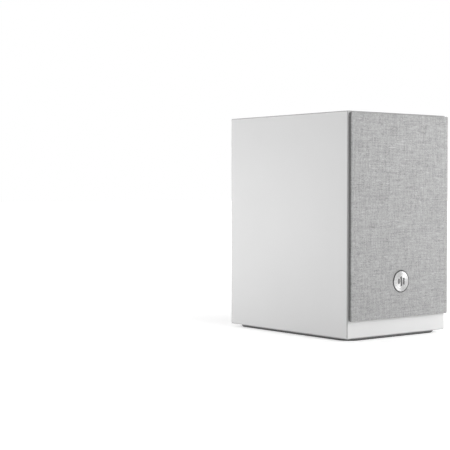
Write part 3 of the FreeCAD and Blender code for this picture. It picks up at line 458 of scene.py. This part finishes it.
def badge_rings(cloth, front, half_width, half_height):
    """Rings round the hole for the badge, dished in at its rim."""
    low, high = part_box("badge_bezel")
    hole = (high.x - low.x) / 2 + 0.05 * MM
    level = (low.z + high.z) / 2 - cloth.centre.z
    angles = []
    for step in range(CLOTH_POINTS):
        x, z = outline_point(half_width * 0.25, half_height * 0.12, 1 * MM, step)
        angles.append(math.atan2(z, x))
    rings = []
    for further, sink in BADGE_DISH:
        radius = hole + further
        places = [(radius * math.cos(angle), level + radius * math.sin(angle)) for angle in angles]
        rings.append([cloth.point(x, front + sink, z, x, z) for x, z in places])
    return rings


def front_rings(cloth, start, front, edge_x, edge_z):
    """Rings over the flat front, changing from the badge's circle to the frame's rectangle."""
    near = [cloth.laid[vertex] for vertex in start]
    rings = []
    for band in range(1, FRONT_BANDS):
        share = band / FRONT_BANDS
        made = []
        for step, (near_x, near_z) in enumerate(near):
            far_x, far_z = outline_point(edge_x, edge_z, FRONT_CORNER, step)
            x = near_x + (far_x - near_x) * share
            z = near_z + (far_z - near_z) * share
            made.append(cloth.point(x, front, z, x, z))
        rings.append(made)
    rings.append(cloth.ring(edge_x, edge_z, FRONT_CORNER, front, 0.0))
    return rings


def rounded_front_rings(cloth, front, edge_x, edge_z):
    """Rings round the frame's front edge, ending on its sides."""
    rings = []
    for step in range(1, ROUND_STEPS + 1):
        angle = math.radians(90 * step / ROUND_STEPS)
        out = FRONT_ROUND * math.sin(angle)
        level = front + FRONT_ROUND * (1 - math.cos(angle))
        rings.append(cloth.ring(edge_x + out, edge_z + out, FRONT_CORNER + out, level,
                                FRONT_ROUND * angle - out))
    return rings


def wrapped_rings(cloth, front, back, half_width, half_height):
    """Rings down the sides, round the back edge and under it; also how far the cloth reaches."""
    side_start = front + FRONT_ROUND
    side_end = back - BACK_ROUND
    walked = FRONT_ROUND * (math.pi / 2 - 1)
    rings = []
    for share in (0.5, 1.0):
        down = (side_end - side_start) * share
        rings.append(cloth.ring(half_width, half_height, SIDE_CORNER, side_start + down, walked + down))
    walked += side_end - side_start
    for step in range(1, ROUND_STEPS + 1):
        angle = math.radians(90 * step / ROUND_STEPS)
        tuck = BACK_ROUND * (1 - math.cos(angle))
        walked += BACK_ROUND * math.radians(90 / ROUND_STEPS)
        corner = max(TUCKED_CORNER, SIDE_CORNER - tuck * 0.3)
        rings.append(cloth.ring(half_width - tuck, half_height - tuck, corner,
                                side_end + BACK_ROUND * math.sin(angle), walked + tuck))
    tuck = BACK_ROUND + GLUED_STRIP
    walked += GLUED_STRIP
    rings.append(cloth.ring(half_width - tuck, half_height - tuck, TUCKED_CORNER, back, walked + tuck))
    return rings, walked


def grille_cloth():
    """The cloth stretched over the frame: flat front, sides, rounded back edge and glued turn-under."""
    low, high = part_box("grille_cloth")
    half_width = (high.x - low.x) / 2
    half_height = (high.z - low.z) / 2
    edge_x = half_width - FRONT_ROUND
    edge_z = half_height - FRONT_ROUND
    front = low.y
    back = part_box("grille_frame")[1].y - 0.1 * MM
    cloth = ClothBuilder(Vector((0, 0, (low.z + high.z) / 2)))
    rings = badge_rings(cloth, front, half_width, half_height)
    rings += front_rings(cloth, rings[-1], front, edge_x, edge_z)
    rings += rounded_front_rings(cloth, front, edge_x, edge_z)
    wrapped, turn = wrapped_rings(cloth, front, back, half_width, half_height)
    rings += wrapped
    for inner, outer in zip(rings, rings[1:]):
        cloth.join(inner, outer)
    piece = cloth.finish("grille_cloth_sheet")
    thickness = piece.modifiers.new("thickness", "SOLIDIFY")
    thickness.thickness = CLOTH_THICKNESS
    thickness.offset = -1.0
    piece.data.materials.append(woven_melange("grille_cloth"))
    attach(piece, "grille")
    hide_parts("grille_cloth")


# ---------------------------------------------------------------- flexing rings and wadding


FLEX_SECTORS = 16
SECTOR_STEPS = 8
SPIDER_WAVES = 5


def swept_sector(name, axis, profile, first_angle, last_angle):
    """Closed piece of a turned ring: the profile of (radius, y) points swept between two angles."""
    mesh = bmesh.new()
    rows = []
    for step in range(SECTOR_STEPS + 1):
        angle = first_angle + (last_angle - first_angle) * step / SECTOR_STEPS
        rows.append([
            mesh.verts.new((axis.x + radius * math.cos(angle), y, axis.z + radius * math.sin(angle)))
            for radius, y in profile
        ])
    count = len(profile)
    for row, following in zip(rows, rows[1:]):
        for place in range(count):
            beside = (place + 1) % count
            face = mesh.faces.new((row[place], row[beside], following[beside], following[place]))
            face.smooth = True
    for end in (rows[0], rows[-1]):
        cap = mesh.faces.new(end)
        for edge in cap.edges:
            edge.smooth = False
    bmesh.ops.recalc_face_normals(mesh, faces=mesh.faces)
    return linked_piece(mesh, name)


def flexing_ring(node, ahead, behind, material):
    """A ring glued to the cone and coil inside and to the cabinet outside, bending in between.

    It is cut into sectors, each swept between two angles.
    """
    low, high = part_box(node)
    axis = (low + high) / 2
    turn = 2 * math.pi / FLEX_SECTORS
    for sector in range(FLEX_SECTORS):
        piece = swept_sector(f"{node}_sector_{sector + 1:02d}", axis, ahead + behind[::-1],
                             turn * sector, turn * (sector + 1))
        piece.data.materials.append(material)
        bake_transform(piece)
        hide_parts(node)


def half_roll(inner, outer, base, crest, steps=14):
    """Points of a half ellipse from the inner to the outer radius."""
    points = []
    for step in range(steps + 1):
        angle = math.pi * step / steps
        radius = inner + (outer - inner) * (1 - math.cos(angle)) / 2
        points.append((radius, base + (crest - base) * math.sin(angle)))
    return points


def woofer_surround(material):
    """Rubber half-roll with its flat rims on the cone and on the basket."""
    low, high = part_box("woofer_surround")
    cone_low, cone_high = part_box("woofer_cone")
    rim = (high.x - low.x) / 2
    inner = (cone_high.x - cone_low.x) / 2 + 0.2 * MM
    outer = rim - 2.2 * MM
    lip = inner - 2.4 * MM
    skin = 0.55 * MM
    front = high.y - skin
    outside = half_roll(inner, outer, front, low.y)
    inside = half_roll(inner + skin, outer - skin, high.y, low.y + skin)
    ahead = [(lip, front), *outside, (rim, front)]
    behind = [(lip, high.y), *inside, (rim, high.y)]
    flexing_ring("woofer_surround", ahead, behind, material)


def woofer_spider(material):
    """Corrugated cloth disc: five waves between the voice coil and the ledge of the basket."""
    low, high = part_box("woofer_spider")
    coil_low, coil_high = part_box("woofer_voice_coil")
    rim = (high.x - low.x) / 2
    inner = (coil_high.x - coil_low.x) / 2 - 0.6 * MM
    outer = rim - 4.2 * MM
    skin = 0.5 * MM
    swing = ((high.y - low.y) - skin) / 2
    level = (low.y + high.y) / 2
    steps = 10 * SPIDER_WAVES
    line = []
    for step in range(steps + 1):
        share = step / steps
        wave = math.sin(2 * math.pi * SPIDER_WAVES * share)
        line.append((inner + (outer - inner) * share, level - swing * wave))
    line.append((rim, level))
    ahead = [(radius, y - skin / 2) for radius, y in line]
    behind = [(radius, y + skin / 2) for radius, y in line]
    flexing_ring("woofer_spider", ahead, behind, material)


WADDING_THICKNESS = 8 * MM
GLUE_SPOTS = (-0.62, 0.0, 0.62)
GLUE_RADIUS = 4 * MM
PUFF_FRAMES = 20
PUFF_LIMIT = 1.2 * MM


def near_glue(place, centre, reach):
    """True near one of the nine spots of glue."""
    return any(
        (place.y - centre.y - reach.y * y_share) ** 2 + (place.z - centre.z - reach.z * z_share) ** 2
        < GLUE_RADIUS ** 2
        for y_share in GLUE_SPOTS for z_share in GLUE_SPOTS
    )


def puff_up(piece, held):
    """Blows the pad up a little with a cloth simulation, keeping the held points in place."""
    pins = piece.vertex_groups.new(name="glued")
    pins.add(held, 1.0, "REPLACE")
    cloth = piece.modifiers.new("puff", "CLOTH")
    cloth.settings.use_pressure = True
    cloth.settings.uniform_pressure_force = 4.0
    cloth.settings.vertex_group_mass = pins.name
    cloth.settings.effector_weights.gravity = 0.0
    cloth.settings.quality = 5
    cloth.point_cache.frame_start = 1
    cloth.point_cache.frame_end = PUFF_FRAMES
    for step in range(1, PUFF_FRAMES + 1):
        bpy.context.scene.frame_set(step)
    settled = piece.evaluated_get(bpy.context.evaluated_depsgraph_get())
    moved = [vertex.co.copy() for vertex in settled.to_mesh().vertices]
    settled.to_mesh_clear()
    piece.modifiers.remove(cloth)
    bpy.context.scene.frame_set(1)
    for vertex, after in zip(piece.data.vertices, moved):
        step = after - vertex.co
        if step.length > PUFF_LIMIT:
            step = step.normalized() * PUFF_LIMIT
        vertex.co = vertex.co + step
    piece.vertex_groups.remove(pins)


def voxel_block(name, centre, reach):
    """A block with an even grid of small faces all over."""
    mesh = bmesh.new()
    bmesh.ops.create_cube(mesh, size=2.0)
    inset = 1.3 * MM
    for vertex in mesh.verts:
        vertex.co = Vector(centre[axis] + vertex.co[axis] * (reach[axis] - inset) for axis in range(3))
    piece = linked_piece(mesh, name)
    voxels = piece.modifiers.new("voxels", "REMESH")
    voxels.mode = "VOXEL"
    voxels.voxel_size = 2.6 * MM
    voxels.use_smooth_shade = True
    bpy.context.view_layer.update()
    remeshed = piece.evaluated_get(bpy.context.evaluated_depsgraph_get())
    fine = bpy.data.meshes.new_from_object(remeshed)
    piece.modifiers.remove(voxels)
    piece.data = fine
    return piece


def roughen(piece, centre, reach):
    """Uneven tufts all over the pad, kept inside its box."""
    for vertex in piece.data.vertices:
        tuft = 0.35 * MM * noise.noise(vertex.co * 130.0)
        for axis in range(3):
            edge = reach[axis] - 0.05 * MM
            offset = vertex.co[axis] - centre[axis] + tuft
            vertex.co[axis] = centre[axis] + max(-edge, min(edge, offset))


def wadding_pad(name, low, high, material):
    """One sheet of polyester wadding, thicker between the spots of glue that hold it to the wall."""
    centre = (low + high) / 2
    reach = (high - low) / 2
    piece = voxel_block(name, centre, reach)
    vertices = piece.data.vertices
    puff_up(piece, [vertex.index for vertex in vertices if near_glue(vertex.co, centre, reach)])
    roughen(piece, centre, reach)
    for face in piece.data.polygons:
        face.use_smooth = True
    smooth = piece.modifiers.new("smooth", "SUBSURF")
    smooth.levels = 1
    smooth.render_levels = 1
    piece.data.materials.append(material)
    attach(piece, "cabinet")
    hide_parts("damping_wadding")


def damping_wadding(material):
    """A pad on the inside of each side wall."""
    low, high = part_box("damping_wadding")
    wadding_pad("wadding_pad_left", low, Vector((low.x + WADDING_THICKNESS, high.y, high.z)), material)
    wadding_pad("wadding_pad_right", Vector((high.x - WADDING_THICKNESS, low.y, low.z)), high, material)


# ---------------------------------------------------------------- finishes of the CAD pieces


def finishes():
    """The material of each slot in the record, apart from the grille cloth's."""
    dark = (0.028, 0.028, 0.029)
    steel = (0.52, 0.51, 0.50)
    return {
        "white_lacquer": lacquer("white_lacquer"),
        "base_black": moulded("base_black", (0.12, 0.12, 0.121), 0.6),
        "base_rubber": moulded("base_rubber", (0.05, 0.05, 0.05), 0.8, grain=0.5),
        "wadding": fibrous("wadding", (0.6, 0.6, 0.58), 1.0, 240.0, 1.5, sheen=0.6),
        "basket_steel": moulded("basket_steel", dark, 0.45, grain=0.5),
        "surround_rubber": moulded("surround_rubber", (0.022, 0.022, 0.023), 0.5, grain=0.1),
        "cone_paper": fibrous("cone_paper", (0.055, 0.055, 0.056), 0.7, 900.0, 0.06),
        "dust_cap": fibrous("dust_cap", (0.04, 0.04, 0.042), 0.4, 1200.0, 0.03, sheen=0.05),
        "copper": wound("copper", (0.72, 0.36, 0.18), "Y"),
        "spider_cloth": fibrous("spider_cloth", (0.62, 0.40, 0.16), 0.85, 1500.0, 0.08),
        "zinc_steel": metal("zinc_steel", steel, 0.35),
        "ferrite": moulded("ferrite", (0.045, 0.045, 0.048), 0.75, grain=0.6),
        "phenolic": fibrous("phenolic", (0.20, 0.10, 0.045), 0.5, 700.0, 0.02, sheen=0.0),
        "black_screw": metal("black_screw", (0.06, 0.06, 0.062), 0.4, depth=0.01),
        "tweeter_plate": moulded("tweeter_plate", dark, 0.55, grain=0.4),
        "silk": fibrous("silk", (0.035, 0.035, 0.038), 0.55, 2600.0, 0.02, sheen=0.4),
        "magnet_nickel": metal("magnet_nickel", (0.66, 0.64, 0.60), 0.22, depth=0.005),
        "frame_plastic": moulded("frame_plastic", dark, 0.6, grain=0.4),
        "badge_metal": spun("badge_metal", (0.45, 0.45, 0.45)),
        "badge_dark": moulded("badge_dark", (0.05, 0.05, 0.05), 0.35, grain=0.1),
        "badge_mark": moulded("badge_mark", (0.075, 0.075, 0.077), 0.4, grain=0.1),
        "port_plastic": moulded("port_plastic", (0.022, 0.022, 0.023), 0.5, grain=0.4),
        "panel_aluminium": metal("panel_aluminium", (0.055, 0.055, 0.058), 0.45, grain=(0.02, 1.0, 1.0)),
        "board_green": circuit_board("board_green"),
        "bare_aluminium": metal("bare_aluminium", (0.7, 0.7, 0.71), 0.4, grain=(1.0, 1.0, 0.03)),
        "lamination": metal("lamination", (0.20, 0.19, 0.18), 0.5, grain=(1.0, 1.0, 0.02), depth=0.1),
        "socket_black": moulded("socket_black", (0.02, 0.02, 0.021), 0.4),
        "pin_brass": metal("pin_brass", (0.85, 0.66, 0.34), 0.25, depth=0.005),
        "rocker_black": moulded("rocker_black", (0.024, 0.024, 0.025), 0.3, grain=0.1),
        "knob_black": moulded("knob_black", (0.03, 0.03, 0.031), 0.45, grain=0.2),
        "pot_metal": metal("pot_metal", steel, 0.35),
        "button_grey": moulded("button_grey", (0.11, 0.11, 0.112), 0.45, grain=0.2),
        "shell_nickel": metal("shell_nickel", (0.72, 0.70, 0.66), 0.2, depth=0.005),
        "insert_colour": phono_colours("insert_colour"),
        "post_gold": metal("post_gold", (0.95, 0.70, 0.30), 0.2, depth=0.005),
        "cap_red": moulded("cap_red", (0.42, 0.012, 0.012), 0.3, grain=0.1),
        "cap_black": moulded("cap_black", (0.02, 0.02, 0.02), 0.3, grain=0.1),
        "cable_grey": moulded("cable_grey", (0.045, 0.045, 0.045), 0.55, grain=0.2),
    }


def dress_cad_pieces(made):
    """Gives each CAD piece the material of its slot; the grille cloth has a sheet of its own."""
    for part in frame["record"]["subparts"]:
        material = made.get(part["material_slot"])
        if material is None:
            continue
        for slot in nodes[part["node"]].material_slots:
            slot.material = material


# ---------------------------------------------------------------- stage


def floor():
    """Pale seamless floor, glowing more with distance so that it runs into the white surroundings."""
    half = 12.0
    corners = [(-half, -half, 0), (half, -half, 0), (half, half, 0), (-half, half, 0)]
    mesh = bpy.data.meshes.new("floor")
    mesh.from_pydata(corners, [], [(0, 1, 2, 3)])
    piece = bpy.data.objects.new("floor", mesh)
    bpy.context.scene.collection.objects.link(piece)
    surface = Surface("floor", (0.85, 0.85, 0.85), 0.9, Specular_IOR_Level=0.0,
                      Emission_Color=rgba(WHITE))
    distance = surface.add("VectorMath", {0: surface.place()}, operation="LENGTH").outputs["Value"]
    surface.feed("Emission Strength", surface.ramp(distance, 0.2, 1.2, 0.37, 0.8))
    surface.bump(surface.noise(40.0), 0.02 * MM, 0.1)
    mesh.materials.append(surface.material)


def softbox(name, place, aim, width, height, watts):
    """A rectangular area light turned towards a point, not seen by the camera."""
    data = bpy.data.lights.new(name, "AREA")
    data.shape = "RECTANGLE"
    data.size = width
    data.size_y = height
    data.energy = watts
    lamp = bpy.data.objects.new(name, data)
    lamp.location = place
    lamp.visible_camera = False
    lamp.rotation_euler = (Vector(aim) - Vector(place)).to_track_quat("-Z", "Y").to_euler()
    bpy.context.scene.collection.objects.link(lamp)


def surroundings():
    """White surroundings, dimmer towards both upper sides for the speaker but not for the camera."""
    world = bpy.data.worlds.new("studio")
    world.use_nodes = True
    sky = NodeTree(world.node_tree)
    direction = sky.add("SeparateXYZ", {0: sky.add("TexCoord").outputs["Generated"]}).outputs
    sideways = sky.math("ABSOLUTE", direction["X"])
    folded = sky.add("CombineXYZ", {0: sideways, 1: direction["Y"], 2: direction["Z"]}).outputs[0]
    dim_side = Vector((0.9, -0.25, 0.35)).normalized()
    towards = sky.add("VectorMath", {0: folded, 1: dim_side}, operation="DOT_PRODUCT")
    dimmed = sky.ramp(towards.outputs["Value"], 0.1, 0.9, 1.02, 0.22, interpolation_type="SMOOTHSTEP")
    seen_by_camera = sky.add("LightPath").outputs["Is Camera Ray"]
    background = world.node_tree.nodes["Background"]
    background.inputs["Color"].default_value = rgba(WHITE)
    sky.tree.links.new(sky.choose(seen_by_camera, dimmed, 1.0), background.inputs["Strength"])
    bpy.context.scene.world = world


def softboxes():
    """Lights in front, overhead, at the right of the badge and behind the left side."""
    softbox("rear_left_softbox", (-0.45, 0.42, 0.1), (-0.07, 0.1, 0.08), 0.25, 0.2, 0.85)
    softbox("key_softbox", (0.2, -2.1, 0.9), (0.0, 0.0, 0.12), 1.2, 1.0, 14.5)
    softbox("overhead_softbox", (0.05, 0.05, 1.5), (0.0, 0.0, 0.2), 1.0, 1.0, 5.0)
    softbox("right_softbox", (0.46, -0.36, 0.2), (0.0, -0.1, 0.12), 0.2, 0.3, 1.2)


def camera():
    """The photographer's place: left of the front, just above the middle of the speaker."""
    data = bpy.data.cameras.new("camera")
    data.sensor_width = 36.0
    data.lens = 95.95
    data.clip_start = 0.05
    piece = bpy.data.objects.new("camera", data)
    piece.location = (-0.9375, -0.9864, 0.1576)
    dip = math.radians(1.686)
    heading = math.radians(-38.274)
    piece.rotation_euler = Euler((math.radians(90) - dip, 0.0, heading))
    bpy.context.scene.collection.objects.link(piece)
    bpy.context.scene.camera = piece


bpy.context.scene.view_settings.view_transform = "Standard"

made = finishes()
dress_cad_pieces(made)
grille_cloth()
woofer_surround(made["surround_rubber"])
woofer_spider(made["spider_cloth"])
damping_wadding(made["wadding"])
floor()
surroundings()
softboxes()
camera()

bpy.context.view_layer.update()
